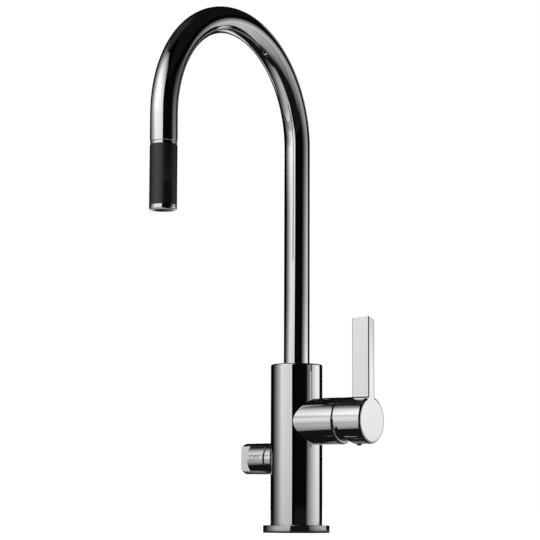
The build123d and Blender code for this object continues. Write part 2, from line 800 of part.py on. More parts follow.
def make_lever_fixings():
    """The grub screw that holds the spindle and the plug that hides it."""
    place = Pos(lever_screw_reach, 0, branch_height) * Rot(180, 0, 0)
    screw_top = spindle_width / 2
    screw = rod(lever_screw_radius, screw_top, screw_top + lever_screw_length)
    socket = RegularPolygon(lever_screw_radius / 2, 6)
    screw -= Pos(0, 0, screw_top + lever_screw_length / 2) * extrude(socket, lever_screw_length)
    seat = sqrt(branch_radius**2 - plug_radius**2)
    stem = rod(plug_stem_radius, hub_bore, branch_radius)
    head = turned([
        (0, branch_radius - plug_head_inset),
        (plug_radius, seat),
        (plug_radius, branch_radius),
        (plug_tip_radius, branch_radius + plug_height),
        (0, branch_radius + plug_height),
    ])
    skin = Rot(0, 90, 0) * rod(branch_radius, -branch_radius, branch_radius)
    return {
        "lever_grub_screw": place * screw,
        "lever_plug": place * (stem + (head - skin)),
    }


def make_valve_body():
    """The collar, its gasket, and the screwed-in body of the shut-off valve."""
    saddle_radius = column_radius + valve_saddle_thickness
    saddle_half = valve_radius + overrun
    saddle = rod(saddle_radius, valve_height - saddle_half, valve_height + saddle_half)
    column = rod(column_radius, 0, column_top)
    collar = rod(valve_radius, 0, valve_collar_reach)
    collar = rounded(collar, valve_rim_round, circle_edge(valve_radius, valve_collar_reach))
    collar -= rod(valve_pocket_radius, -overrun, valve_collar_reach + overrun)
    collar = valve_axis * collar - saddle
    gasket = valve_axis * ring(valve_radius - free_gap, valve_pocket_radius, 0, valve_collar_reach)
    gasket = gasket & saddle
    gasket = gasket - column
    body = turned([
        (valve_bore_radius, valve_disc_start),
        (valve_body_radius, valve_disc_start),
        (valve_body_radius, valve_thread_start),
        (valve_pocket_radius - seat_fit, valve_thread_start),
        (valve_pocket_radius - seat_fit, valve_collar_reach),
        (valve_body_radius, valve_collar_reach),
        (valve_body_radius, valve_neck_end),
        (valve_spindle_radius + running_fit, valve_neck_end),
        (valve_spindle_radius + running_fit, valve_driver_end + axial_gap),
        (valve_bore_radius, valve_driver_end + axial_gap),
    ])
    body -= bar(2 * valve_pocket_radius, valve_outlet_width, valve_driver_start, valve_driver_end)
    seal = ring(valve_body_radius, valve_seal_bore, valve_pocket_end, valve_disc_start)
    disc = rod(valve_disc_radius, valve_disc_start, valve_moving_start) - valve_window()
    return {
        "valve_collar": collar,
        "valve_gasket": gasket,
        "valve_body": valve_axis * body,
        "valve_seat_seal": valve_axis * seal,
        "valve_fixed_disc": valve_axis * disc,
    }


def valve_window():
    """The pair of facing quarter windows through a disc of the shut-off valve."""
    window = rod(valve_disc_radius - valve_seal_thickness, 0, knob_end)
    window -= rod(valve_seal_thickness, 0, knob_end)
    quarter = Box(knob_end, knob_end, 2 * knob_end, align=(Align.MIN, Align.MIN, Align.CENTER))
    pair = quarter + Rot(0, 0, 180) * quarter
    return window & pair


def make_valve_turning():
    """What turns with the knob: the spindle, its ring, the moving disc and the knob."""
    disc = rod(valve_disc_radius, valve_moving_start, valve_driver_start)
    disc -= Rot(0, 0, 90) * valve_window()
    spindle = rod(valve_disc_radius, valve_driver_start, valve_driver_end)
    spindle += rod(valve_spindle_radius, valve_driver_end, knob_boss_start)
    spindle += bar(valve_square_width, valve_square_width, knob_boss_start, square_end)
    groove_low = (valve_driver_end + valve_neck_end) / 2
    groove_radius = valve_spindle_radius - valve_ring_depth
    groove = ring(valve_spindle_radius, groove_radius, groove_low, groove_low + valve_ring_width)
    screw_place = Pos(0, 0, knob_screw_reach) * Rot(-90, 0, 0)
    screw_low = valve_square_width / 2
    screw = rod(knob_screw_radius, screw_low, screw_low + knob_screw_length)
    socket = RegularPolygon(knob_screw_radius / 2, 6)
    screw -= Pos(0, 0, screw_low + knob_screw_length / 2) * extrude(socket, knob_screw_length)
    return {
        "valve_knob": valve_axis * (make_knob() - screw_place * knob_screw_hole()),
        "valve_moving_disc": valve_axis * disc,
        "valve_spindle": valve_axis * (spindle - groove),
        "valve_ring": valve_axis * groove,
        "knob_grub_screw": valve_axis * screw_place * screw,
    }


def knob_screw_hole():
    """The threaded hole for the knob's grub screw, out through the knob's wall."""
    return rod(knob_screw_radius + seat_fit, 0, valve_radius + overrun)


def make_knob():
    """The chromed knob: a round barrel whose outer end is flattened into a grip."""
    knob = rod(valve_radius, knob_start, knob_end)
    knob = rounded(knob, valve_knob_round, circle_edge(valve_radius, knob_end))
    knob = rounded(knob, valve_rim_round, circle_edge(valve_radius, knob_start))
    step = knob_end - valve_grip_length
    width = 2 * (valve_radius + overrun)
    for side in (-1, 1):
        flat = Pos(0, side * (valve_grip_thickness + width) / 2, step)
        knob -= flat * Box(width, width, valve_grip_length + overrun, align=upright)
    knob -= rod(valve_radius - valve_knob_wall, knob_start - overrun, knob_cavity_end)
    knob += rod(knob_boss_radius, knob_boss_start, knob_cavity_end + overrun)
    square = valve_square_width + 2 * seat_fit
    knob -= bar(square, square, knob_boss_start - overrun, square_end + free_gap)
    return knob


def main():
    """Makes every piece and writes each to its own file."""
    pieces = {}
    makers = (
        make_base, make_column_shell, make_side_branch, make_waterways,
        make_spout_bearing, make_spout, make_hose, make_hose_end,
        make_handset_core, make_handset_skin, make_nozzle, make_handset_inlet,
        make_cartridge_body, make_dome, make_rotor, make_moving_disc, make_spindle,
        make_lever_handle, make_lever_fixings, make_valve_body, make_valve_turning,
    )
    for maker in makers:
        pieces.update(maker())
    os.makedirs("parts", exist_ok=True)
    for name, piece in pieces.items():
        export_step(piece, f"parts/{name}.step")
    print(len(pieces), "pieces")


main()
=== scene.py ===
from math import cos, pi, radians, sin

import bmesh
import bpy
import numpy as np
from mathutils import Matrix, Vector


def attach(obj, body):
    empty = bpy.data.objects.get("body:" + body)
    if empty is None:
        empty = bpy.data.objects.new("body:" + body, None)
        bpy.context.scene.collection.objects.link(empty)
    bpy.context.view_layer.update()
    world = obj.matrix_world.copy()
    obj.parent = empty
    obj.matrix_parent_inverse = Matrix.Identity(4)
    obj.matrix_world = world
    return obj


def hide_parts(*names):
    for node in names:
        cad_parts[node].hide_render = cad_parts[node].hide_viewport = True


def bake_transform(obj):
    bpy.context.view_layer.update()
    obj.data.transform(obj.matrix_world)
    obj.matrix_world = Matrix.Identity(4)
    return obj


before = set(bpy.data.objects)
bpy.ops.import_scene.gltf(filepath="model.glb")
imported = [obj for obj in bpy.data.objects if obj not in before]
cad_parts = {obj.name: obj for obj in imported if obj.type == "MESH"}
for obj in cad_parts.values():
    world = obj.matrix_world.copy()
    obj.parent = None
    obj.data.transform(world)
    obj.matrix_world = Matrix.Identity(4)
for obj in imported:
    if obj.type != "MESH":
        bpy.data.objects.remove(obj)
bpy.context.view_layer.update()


# Base gasket
# A flat ring of black EPDM rubber under the flange, stamped from moulded sheet.
# The flange presses it on the worktop, so only its dull dark edge shows.


def linear(code):
    """Turns an sRGB hex colour into linear red, green, blue and full alpha.

    Each channel over 255 is divided by 12.92 below the knee, and is otherwise
    shifted by 0.055, divided by 1.055 and raised to 2.4.
    """
    channel = np.array([int(code[i : i + 2], 16) for i in (1, 3, 5)]) / 255
    straight = channel / 12.92
    curved = ((channel + 0.055) / 1.055) ** 2.4
    return (*np.where(channel <= 0.04045, straight, curved).tolist(), 1.0)


def per_mm(size):
    """Scale of a noise whose features are that many millimetres wide."""
    return 1000 / size


def waves_per_mm(size):
    """Scale of a wave texture whose lines stand that many millimetres apart."""
    return 2 * pi * 1000 / (20 * size)


def add(tree, kind, inputs=None, **settings):
    """Adds one node, where each input is a value or another node's output.

    The settings are the node's own properties.
    """
    new = tree.nodes.new("ShaderNode" + kind)
    for key, value in settings.items():
        setattr(new, key, value)
    for key, value in (inputs or {}).items():
        if isinstance(value, bpy.types.NodeSocket):
            tree.links.new(value, new.inputs[key])
        else:
            new.inputs[key].default_value = value
    return new


def start_finish(name):
    """Starts a material: returns it, its empty node tree and the object's own coordinates."""
    material = bpy.data.materials.new(name)
    material.use_nodes = True
    tree = material.node_tree
    tree.nodes.clear()
    return material, tree, add(tree, "TexCoord").outputs["Object"]


def moulded(name, colour, shade, grain, roughness, depth=0.01):
    """A moulded rubber or plastic: two close tones in soft patches, and the mould's fine grain.

    The grain is in millimetres, and the roughness goes from the first value to the second.
    """
    material, tree, place = start_finish(name)
    patches = add(tree, "TexNoise", {"Vector": place, "Scale": per_mm(9), "Detail": 3.0})
    pits = add(tree, "TexNoise", {"Vector": place, "Scale": per_mm(grain), "Detail": 2.0})
    tone = add(
        tree,
        "Mix",
        {0: patches.outputs["Fac"], 6: linear(colour), 7: linear(shade)},
        data_type="RGBA",
    )
    worn = add(
        tree,
        "MapRange",
        {"Value": patches.outputs["Fac"], "To Min": roughness[0], "To Max": roughness[1]},
    )
    bump = add(
        tree,
        "Bump",
        {"Height": pits.outputs["Fac"], "Strength": 0.5, "Distance": depth / 1000},
    )
    shader = add(
        tree,
        "BsdfPrincipled",
        {
            "Base Color": tone.outputs[2],
            "Roughness": worn.outputs[0],
            "Normal": bump.outputs[0],
        },
    )
    add(tree, "OutputMaterial", {"Surface": shader.outputs[0]})
    return material


def dress(material, *names):
    """Gives CAD nodes their finish, in every slot that they have."""
    for name in names:
        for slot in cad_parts[name].material_slots:
            slot.material = material


# EPDM rubber, compression moulded: dull, with a talc bloom that lifts the black a little.
gasket_rubber = moulded("moulded_epdm_rubber", "#232324", "#2E2E2F", 0.5, (0.7, 0.85))
dress(gasket_rubber, "base_gasket")


# Base flange, column and side branch
# A drawn brass tube with a brazed branch and a turned flange, all polished and
# then plated with nickel and chromium in one bath, so they share one finish.


def chrome_plate(name, haze=(0.025, 0.05)):
    """Chromium over nickel on buffed brass.

    The plating copies the buffed metal: a very slight swell some 14 mm long, and a faint
    haze of fine wheel marks, really 0.02 mm apart and drawn 0.5 mm apart so that they show.
    """
    material, tree, place = start_finish(name)
    swell = add(tree, "TexNoise", {"Vector": place, "Scale": per_mm(14), "Detail": 1.0})
    wheel = add(tree, "TexNoise", {"Vector": place, "Scale": per_mm(0.5), "Detail": 2.0})
    smear = add(tree, "TexNoise", {"Vector": place, "Scale": per_mm(22), "Detail": 4.0})
    tone = add(
        tree,
        "Mix",
        {0: smear.outputs["Fac"], 6: linear("#F5F4F4"), 7: linear("#EEEDED")},
        data_type="RGBA",
    )
    clouded = add(
        tree,
        "MapRange",
        {
            "Value": smear.outputs["Fac"],
            "From Min": 0.35,
            "From Max": 0.7,
            "To Min": haze[0],
            "To Max": haze[1],
        },
    )
    marks = add(
        tree,
        "Bump",
        {"Height": wheel.outputs["Fac"], "Strength": 0.08, "Distance": 0.000004},
    )
    bump = add(
        tree,
        "Bump",
        {
            "Height": swell.outputs["Fac"],
            "Strength": 0.3,
            "Distance": 0.00002,
            "Normal": marks.outputs[0],
        },
    )
    shader = add(
        tree,
        "BsdfPrincipled",
        {
            "Base Color": tone.outputs[2],
            "Metallic": 1.0,
            "Roughness": clouded.outputs[0],
            "Normal": bump.outputs[0],
        },
    )
    add(tree, "OutputMaterial", {"Surface": shader.outputs[0]})
    return material


column_chrome = chrome_plate("polished_chrome_plate_on_brass")
dress(column_chrome, "base_flange", "column_shell", "side_branch", "column_top_ring")


# Port block and waterway core
# Low-lead brass bar, turned and drilled, that stands in the column. It keeps its
# yellow turned skin, since only the outside of the column is plated.


def turned(name, colour, tarnish, spacing, axis, roughness):
    """Bare turned metal: fine tool lines square to the turning axis, and soft patches of tarnish.

    The feed lines are spaced in millimetres along the axis, and a little noise keeps them uneven.
    """
    material, tree, place = start_finish(name)
    patches = add(tree, "TexNoise", {"Vector": place, "Scale": per_mm(6), "Detail": 4.0})
    feed = add(
        tree,
        "TexWave",
        {"Vector": place, "Scale": waves_per_mm(spacing), "Distortion": 0.6, "Detail": 2.0},
        bands_direction=axis,
    )
    tone = add(
        tree,
        "Mix",
        {0: patches.outputs["Fac"], 6: linear(colour), 7: linear(tarnish)},
        data_type="RGBA",
    )
    dulled = add(
        tree,
        "MapRange",
        {"Value": patches.outputs["Fac"], "To Min": roughness[0], "To Max": roughness[1]},
    )
    bump = add(
        tree,
        "Bump",
        {"Height": feed.outputs["Fac"], "Strength": 0.35, "Distance": 0.00002},
    )
    shader = add(
        tree,
        "BsdfPrincipled",
        {
            "Base Color": tone.outputs[2],
            "Metallic": 1.0,
            "Roughness": dulled.outputs[0],
            "Normal": bump.outputs[0],
        },
    )
    add(tree, "OutputMaterial", {"Surface": shader.outputs[0]})
    return material


# Brass, turned: warm yellow, going brown where it was handled. The tool's feed of 0.1 mm is
# drawn as 0.4 mm.
upright_brass = turned("turned_brass_upright", "#D9B56A", "#B98E45", 0.4, "Z", (0.2, 0.38))
dress(upright_brass, "port_block", "waterway_core", "spout_sleeve")


# Port threads
# M10x1 threads tapped in the four water ports and M8 threads in the two stud holes,
# seen from below. Each is a ridge that winds up inside its plain hole.


def piece(name, points, material, body, round_rows=False, uv=None):
    """Makes a piece from a grid of points: each cell of the grid is a face.

    The last column joins the first, and the last row joins the first when round_rows is set;
    otherwise the first and the last row are each closed by one face. uv holds a row's and a
    column's coordinate, and a face takes them at its own four corners.
    """
    rows, columns = points.shape[:2]
    index = np.arange(rows * columns).reshape(rows, columns)
    across = np.roll(index, -1, axis=1)
    up = np.roll(index, -1, axis=0)
    both = np.roll(across, -1, axis=0)
    last = rows if round_rows else rows - 1
    cells = np.stack([index, across, both, up], axis=-1)[:last].reshape(-1, 4)
    faces = cells.tolist()
    if not round_rows:
        faces += [index[0, ::-1].tolist(), index[-1].tolist()]
    mesh = bpy.data.meshes.new(name)
    mesh.from_pydata(points.reshape(-1, 3).tolist(), [], faces)
    mesh.polygons.foreach_set("use_smooth", np.ones(len(faces), bool))
    if uv is not None:
        along = np.append(uv[0], uv[0][-1])[: last + 1]
        turn = np.append(uv[1], 1.0)
        corner = np.zeros((last, columns, 4, 2))
        corner[..., 0] = np.stack([turn[:-1], turn[1:], turn[1:], turn[:-1]], -1)
        corner[..., 1] = np.stack([along[:-1], along[:-1], along[1:], along[1:]], -1)[:, None]
        spare = sum(len(face) for face in faces) - 4 * len(cells)
        flat = np.concatenate([corner.reshape(-1), np.zeros(2 * spare)])
        mesh.uv_layers.new(name="lay").data.foreach_set("uv", flat)
    mesh.update()
    made = bpy.data.objects.new(name, mesh)
    bpy.context.scene.collection.objects.link(made)
    mesh.materials.append(material)
    if body:
        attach(made, body)
    return made


def thread(name, centre, radius, low, high, pitch, material, body):
    """A thread inside a hole: a triangle carried up a helix.

    The triangle's base stands in the hole's wall, 0.84 of a pitch wide, and its crest points to
    the axis, 0.6 of a pitch from the wall; the crest fades over the first and last half turn.
    """
    turns = (high - low) / pitch - 1
    angle = np.linspace(0, 2 * pi * turns, int(40 * turns))[:, None]
    fade = np.clip(np.minimum(angle, angle[-1] - angle) / pi, 0.05, 1)
    base = np.array([0.04, 0.04, -0.6])[None] * pitch
    reach = radius + np.where(base < 0, base * fade, base * np.ones_like(fade))
    rise = low + pitch / 2 + angle * pitch / (2 * pi) + np.array([-0.42, 0.42, 0.0]) * pitch
    points = np.stack(
        [
            centre[0] + reach * np.cos(angle),
            centre[1] + reach * np.sin(angle),
            rise * np.ones_like(reach),
        ],
        axis=-1,
    )
    piece(name, points[:, ::-1] / 1000, material, body)


# Cut brass: brighter than the turned skin, since the tap leaves a fresh surface.
cut_brass = turned("tapped_brass", "#E3C27C", "#CDA75E", 0.25, "Z", (0.16, 0.26))
port_circle = 14.525
port_mouth = 2.0
for name, angle, radius, depth, pitch in (
    ("hot_port_thread", 41, 4.5, 12, 1.0),
    ("cold_port_thread", -41, 4.5, 12, 1.0),
    ("mixed_port_thread", 0, 4.5, 12, 1.0),
    ("machine_port_thread", 180, 4.5, 12, 1.0),
    ("rear_stud_thread", 112, 3.4, 16, 1.25),
    ("front_stud_thread", -112, 3.4, 16, 1.25),
):
    turn = radians(angle)
    centre = port_circle * cos(turn), port_circle * sin(turn)
    thread(name, centre, radius, port_mouth, port_mouth + depth, pitch, cut_brass, "column")


# Spout bearings
# Two rings of white acetal that the spout turns on, injection moulded.
# Acetal is slippery and slightly waxy, so it looks milky with a soft gloss.
bearing_acetal = moulded("moulded_acetal", "#EFECE4", "#E6E3DA", 0.8, (0.3, 0.42), 0.006)
dress(bearing_acetal, "lower_bearing", "upper_bearing", "docking_guide")


# Stop screw and grub screws
# Small stainless screws with a hexagon socket, turned from wire, that hold the
# spout, the lever and the knob.

# Stainless steel, turned: neutral grey with close tool lines, really 0.1 mm apart and drawn
# 0.3 mm apart.
screw_steel = turned("turned_stainless_steel", "#C3C4C6", "#A9ABAE", 0.3, "Y", (0.22, 0.34))
dress(screw_steel, "spout_stop_screw", "knob_grub_screw")
small_screw_steel = turned(
    "turned_stainless_grub_screw", "#BDBFC1", "#9EA0A3", 0.3, "Z", (0.25, 0.36)
)
dress(small_screw_steel, "lever_grub_screw")


# Spout
# A 24 mm brass tube bent to a half circle on a mandrel, then buffed lengthwise and
# chrome plated. Its foot is brazed in a brass sleeve that turns in the bearings.
spout_chrome = chrome_plate("polished_chrome_plate_on_bent_tube", (0.02, 0.04))
dress(spout_chrome, "spout_tube")


# Pull-out hose
# A rubber-cored hose under a braid of grey nylon bands, 12 mm across. It comes up the
# column, round the arch and down into the spray, where its last bit is free to pull out.

hose_radius = 6.0
hose_bore = 4.0
arch_radius = 101.7
arch_height = 359.7
hose_foot = 15.5
hose_top_of_grip = 341.4
hose_foot_in_grip = 323.8
pull_travel = 250.0
bands = 16
band_lay = 2.36
braid_depth = 0.3
ring_points = 96


def braid_height(turn, along):
    """How high the braid stands, from 0 to 1, at a turn round the hose and a length along it.

    Two sets of bands wind round, one each way; where two bands cross, every other one is on top,
    and the top band is a rounded ridge that dips where it is about to dive under.
    """
    left = turn * bands / 2 + along / (2 * band_lay)
    right = turn * bands / 2 - along / (2 * band_lay)
    over = (np.floor(left) + np.floor(right)) % 2
    ridge_left = np.sin(pi * left) ** 2
    ridge_right = np.sin(pi * right) ** 2
    top = np.where(over < 1, ridge_left, ridge_right)
    under = np.where(over < 1, ridge_right, ridge_left)
    return np.sqrt(top) * (0.45 + 0.55 * np.sqrt(under))


def hose_piece(name, middle, normal, along, material):
    """A braided hose along a line in the plane X = 0.

    Every ring lies across the line at middle, turned by its normal, at the hose's radius less
    the braid's depth where it dips; the inside is a plain bore that goes back along the line,
    with a ring at every eighth place where the line bends, and the two are joined at both ends.
    """
    turn = np.arange(ring_points) / ring_points
    height = braid_height(turn[None, :], along[:, None])
    outside = hose_radius - braid_depth * (1 - height)
    bends = np.ptp(normal, axis=0).max() > 0
    back = np.arange(len(middle))[::-8] if bends else [-1, 0]
    radius = np.concatenate([outside, np.full((len(back), len(turn)), hose_bore)])
    at = np.concatenate([middle, middle[back]])
    facing = np.concatenate([normal, normal[back]])
    side = np.array([1.0, 0.0, 0.0])
    round_x = np.cos(2 * pi * turn)[None, :, None] * side
    round_n = np.sin(2 * pi * turn)[None, :, None] * facing[:, None]
    points = at[:, None] + radius[..., None] * (round_x + round_n)
    spare = np.full(len(at) - len(middle), along[-1])
    lay = np.concatenate([along, spare]) / 1000
    made = piece(name, points[:, ::-1] / 1000, material, None, True, (lay, turn))
    stand = np.concatenate([height, np.zeros((len(spare), len(turn)))])[:, ::-1]
    level = made.data.attributes.new("stand", "FLOAT", "POINT")
    level.data.foreach_set("value", stand.astype(np.float32).ravel())
    return made


# Nylon multifilament braid: satin, with painted shade that darkens it where the bands dip in the
# crossings, and filaments 0.04 mm thick that lie along the bands and are drawn 0.3 mm apart.
hose_braid, tree, _ = start_finish("nylon_multifilament_braid")
lay = add(tree, "UVMap", uv_map="lay").outputs["UV"]
stand = add(tree, "Attribute", attribute_name="stand")
stretched = add(
    tree, "Mapping", {"Vector": lay, "Scale": (2 * pi * hose_radius / 1000, 1.0, 1.0)}
)
filaments = add(
    tree,
    "TexWave",
    {"Vector": stretched.outputs[0], "Scale": waves_per_mm(0.3), "Distortion": 1.5, "Detail": 2.0},
    bands_direction="DIAGONAL",
)
# Painted shade: the colour goes from dark grey where the braid dips to pale grey on the band tops.
painted_crossing_shade = add(
    tree,
    "Mix",
    {0: stand.outputs["Fac"], 6: linear("#3A3C3F"), 7: linear("#9DA1A6")},
    data_type="RGBA",
)
fibre = add(
    tree,
    "Mix",
    {0: filaments.outputs["Fac"], 6: painted_crossing_shade.outputs[2], 7: linear("#B9BCC0")},
    data_type="RGBA",
)
fibre_share = add(
    tree,
    "Mix",
    {0: 0.35, 6: painted_crossing_shade.outputs[2], 7: fibre.outputs[2]},
    data_type="RGBA",
)
bump = add(
    tree,
    "Bump",
    {"Height": filaments.outputs["Fac"], "Strength": 0.3, "Distance": 0.00004},
)
shader = add(
    tree,
    "BsdfPrincipled",
    {
        "Base Color": fibre_share.outputs[2],
        "Roughness": 0.42,
        "Sheen Weight": 0.25,
        "Sheen Roughness": 0.4,
        "Normal": bump.outputs[0],
    },
)
add(tree, "OutputMaterial", {"Surface": shader.outputs[0]})

rise_length = arch_height - hose_foot
arc_length = pi * arch_radius
rings = 881
along = np.linspace(0, rise_length + arc_length, rings)
swing = np.clip((along - rise_length) / arch_radius, 0, pi)
middle = np.stack(
    [
        0 * along,
        -arch_radius * (1 - np.cos(swing)),
        hose_foot + np.minimum(along, rise_length) + arch_radius * np.sin(swing),
    ],
    axis=1,
)
normal = np.stack([0 * along, np.cos(swing), np.sin(swing)], axis=1)
arch_hose = hose_piece("braided_hose_in_spout", middle, normal, along, hose_braid)
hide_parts("pull_out_hose")
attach(arch_hose, "spout")

# The free bit hides inside the spray and lengthens from 17 mm to 267 mm when the spray is
# pulled, so its rings and its braid are laid out evenly for the pulled hose.
share = np.linspace(0, 1, 4001)
drop = share * (arch_height - hose_top_of_grip)
pulled = drop + pull_travel * share**2 * (3 - 2 * share)
ring_gap = 0.5
even = np.arange(0, pulled[-1], ring_gap)
free = np.append(np.interp(even, pulled, drop), arch_height - hose_foot_in_grip)
lay_length = np.append(even, even[-1] + hose_top_of_grip - hose_foot_in_grip)
middle = np.stack([0 * free, -2 * arch_radius + 0 * free, arch_height - free], axis=1)
normal = np.tile([0.0, -1.0, 0.0], (len(free), 1))
free_hose = hose_piece("braided_hose_free_end", middle, normal, lay_length, hose_braid)
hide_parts("hose_free_end")
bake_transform(free_hose)


# Hose fittings
# A brass nipple at the hose's foot, and at its free end a stainless ferrule crimped
# over the braid and a turned brass tail, which the spray's cone nut turns on.
dress(upright_brass, "hose_inlet_fitting", "hose_tail", "hose_cone_nut")
# Stainless steel, drawn and crimped: smooth and bright, with the rings that the crimping jaws
# press, 3 mm apart.
ferrule_steel = turned("crimped_stainless_ferrule", "#CFD0D2", "#B5B7BA", 3.0, "Z", (0.14, 0.24))
dress(ferrule_steel, "hose_ferrule")


# Spray body and its chromed rings
# A turned brass body with a ring above and a ring below the grip. The rings and the
# neck that docks in the spout are chrome plated.
spray_chrome = chrome_plate("polished_chrome_plate_on_turned_ring", (0.02, 0.04))
dress(spray_chrome, "handset_core", "handset_top_ring", "handset_bottom_ring")


# Grip
# A sleeve of black silicone rubber, moulded and pulled over the body. It has an even
# matte skin that shows a soft grey reflection of a light and is otherwise black.
grip_rubber, tree, place = start_finish("moulded_silicone_rubber")
pits = add(tree, "TexNoise", {"Vector": place, "Scale": per_mm(0.4), "Detail": 2.0})
patches = add(tree, "TexNoise", {"Vector": place, "Scale": per_mm(12), "Detail": 3.0})
tone = add(
    tree,
    "Mix",
    {0: patches.outputs["Fac"], 6: linear("#050505"), 7: linear("#0A0A0A")},
    data_type="RGBA",
)
handled = add(
    tree,
    "MapRange",
    {"Value": patches.outputs["Fac"], "To Min": 0.35, "To Max": 0.43},
)
# Spark-eroded texture of the mould, really 0.05 mm across and drawn at 0.4 mm.
bump = add(
    tree,
    "Bump",
    {"Height": pits.outputs["Fac"], "Strength": 0.25, "Distance": 0.00001},
)
shader = add(
    tree,
    "BsdfPrincipled",
    {
        "Base Color": tone.outputs[2],
        "Roughness": handled.outputs[0],
        "Specular IOR Level": 0.85,
        "Normal": bump.outputs[0],
    },
)
add(tree, "OutputMaterial", {"Surface": shader.outputs[0]})
dress(grip_rubber, "grip_sleeve")


# Aerator and check valve
# A black acetal cage that screws into the spray's end with a spreader and a seal, and
# a blue check valve behind it, all moulded.
aerator_acetal = moulded("moulded_black_acetal", "#1B1C1E", "#242528", 0.7, (0.3, 0.42))
dress(aerator_acetal, "aerator_housing", "aerator_spreader")
check_acetal = moulded("moulded_blue_acetal", "#3E6A9A", "#35608F", 0.7, (0.28, 0.4))
dress(check_acetal, "check_valve")
# Nitrile rubber, greased with silicone: black with a wet sheen.
seal_rubber = moulded("greased_nitrile_rubber", "#161617", "#1F1F20", 0.9, (0.32, 0.5), 0.006)
dress(seal_rubber, "aerator_seal", "hose_washer")


# Aerator screen
# A disc of stainless wire cloth that the water leaves through, 0.3 mm wires woven
# 1.1 mm apart in a thin rim. It stands for the plain screen disc.

screen_centre = -2 * arch_radius
screen_level = 277.4
screen_radius = 7.6
cloth_radius = screen_radius - 0.3
rim_inside = 7.0
rim_half = 0.55
wire = 0.17
wire_pitch = 1.1


def wire_cloth(name, material, body):
    """Woven wires: each is a ring of six points carried along a straight line across the disc.

    It waves up and down once per two crossings, and its neighbours wave the other way; the wires
    across wave against it. Points are joined only along each wire, and its two ends are closed.
    """
    half = int(screen_radius / wire_pitch)
    lines = np.arange(-half, half + 1) * wire_pitch
    steps = np.linspace(-1, 1, 61)
    length = np.sqrt(np.maximum(cloth_radius**2 - lines**2, 0.2))
    run = length[:, None] * steps
    flip = np.where(np.arange(len(lines)) % 2, -1, 1)[:, None]
    wave = 0.8 * wire * flip * np.cos(pi * run / wire_pitch)
    angle = np.arange(6) * pi / 3
    offset = lines[:, None, None] + wire * np.cos(angle)
    level = wave[..., None] + wire * np.sin(angle)
    long_way = run[..., None] + 0 * angle
    warp = np.stack([long_way, offset + 0 * level, level], -1)
    weft = np.stack([offset + 0 * level, long_way, wire * np.sin(angle) - wave[..., None]], -1)
    strands = np.concatenate([warp, weft])
    strands += np.array([0.0, screen_centre, screen_level])
    count, rows, columns = strands.shape[:3]
    index = np.arange(count * rows * columns).reshape(count, rows, columns)
    across = np.roll(index, -1, axis=2)
    cells = np.stack([index[:, :-1], across[:, :-1], across[:, 1:], index[:, 1:]], -1)
    mesh = bpy.data.meshes.new(name)
    mesh.from_pydata(strands.reshape(-1, 3).tolist(), [], cells.reshape(-1, 4).tolist())
    shell = bmesh.new()
    shell.from_mesh(mesh)
    bmesh.ops.holes_fill(shell, edges=shell.edges, sides=6)
    bmesh.ops.recalc_face_normals(shell, faces=shell.faces)
    shell.to_mesh(mesh)
    shell.free()
    mesh.polygons.foreach_set("use_smooth", np.ones(len(mesh.polygons), bool))
    mesh.transform(Matrix.Scale(0.001, 4))
    mesh.materials.append(material)
    made = bpy.data.objects.new(name, mesh)
    bpy.context.scene.collection.objects.link(made)
    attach(made, body)


# Stainless wire, drawn: bright grey.
wire_steel = turned("drawn_stainless_wire", "#BFC1C3", "#9B9DA0", 0.5, "X", (0.2, 0.32))
wire_cloth("aerator_wire_cloth", wire_steel, "handset")
turn = np.arange(72) * pi / 36
rim_reach = np.array([screen_radius, screen_radius, rim_inside, rim_inside])
rim_rise = np.array([-rim_half, rim_half, rim_half, -rim_half])
rim = np.stack(
    [
        rim_reach * np.cos(turn)[:, None],
        screen_centre + rim_reach * np.sin(turn)[:, None],
        screen_level + rim_rise + 0 * turn[:, None],
    ],
    axis=-1,
)
screen_rim = piece("aerator_screen_rim", rim / 1000, wire_steel, "handset", True)
screen_rim.data.polygons.foreach_set("use_smooth", np.zeros(len(screen_rim.data.polygons), bool))
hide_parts("aerator_screen")


# Cartridge
# A 35 mm ceramic cartridge behind the lever. Its housing and base are glass-filled
# acetal, its two discs are lapped alumina, and a brass ring nut clamps it on a brass seat.
lying_brass = turned("turned_brass_lying", "#D9B56A", "#B98E45", 0.4, "X", (0.2, 0.38))
dress(lying_brass, "cartridge_seat_block", "cartridge_nut", "valve_body", "valve_spindle")
cartridge_acetal = moulded("glass_filled_acetal", "#C9CCCF", "#B7BBBF", 0.35, (0.42, 0.6), 0.015)
dress(cartridge_acetal, "cartridge_base", "cartridge_housing", "cartridge_rotor", "disc_driver")
dress(seal_rubber, "cartridge_seals")


def lapped_ceramic(name, colour, shade):
    """Alumina, pressed, fired and lapped flat: ivory white with grey flecks, almost a mirror.

    The crystals are about 0.01 mm and are drawn as flecks 0.4 mm across.
    """
    material, tree, place = start_finish(name)
    flecks = add(tree, "TexVoronoi", {"Vector": place, "Scale": per_mm(0.4)})
    tone = add(
        tree,
        "Mix",
        {0: flecks.outputs["Distance"], 6: linear(colour), 7: linear(shade)},
        data_type="RGBA",
    )
    gloss = add(
        tree,
        "MapRange",
        {"Value": flecks.outputs["Distance"], "To Min": 0.1, "To Max": 0.2},
    )
    shader = add(
        tree,
        "BsdfPrincipled",
        {
            "Base Color": tone.outputs[2],
            "Roughness": gloss.outputs[0],
            "IOR": 1.76,
        },
    )
    add(tree, "OutputMaterial", {"Surface": shader.outputs[0]})
    return material


disc_ceramic = lapped_ceramic("lapped_alumina", "#F3F0E8", "#E2DED4")
dress(disc_ceramic, "fixed_ceramic_disc", "moving_ceramic_disc")
cartridge_chrome = chrome_plate("polished_chrome_plate_on_dome", (0.02, 0.04))
dress(cartridge_chrome, "cartridge_dome")
# Hardened pin and spindle, ground: finer lines than a turned screw.
ground_steel = turned("ground_steel", "#C9CACC", "#B2B4B7", 0.2, "X", (0.12, 0.2))
dress(ground_steel, "pivot_pin", "lever_spindle")


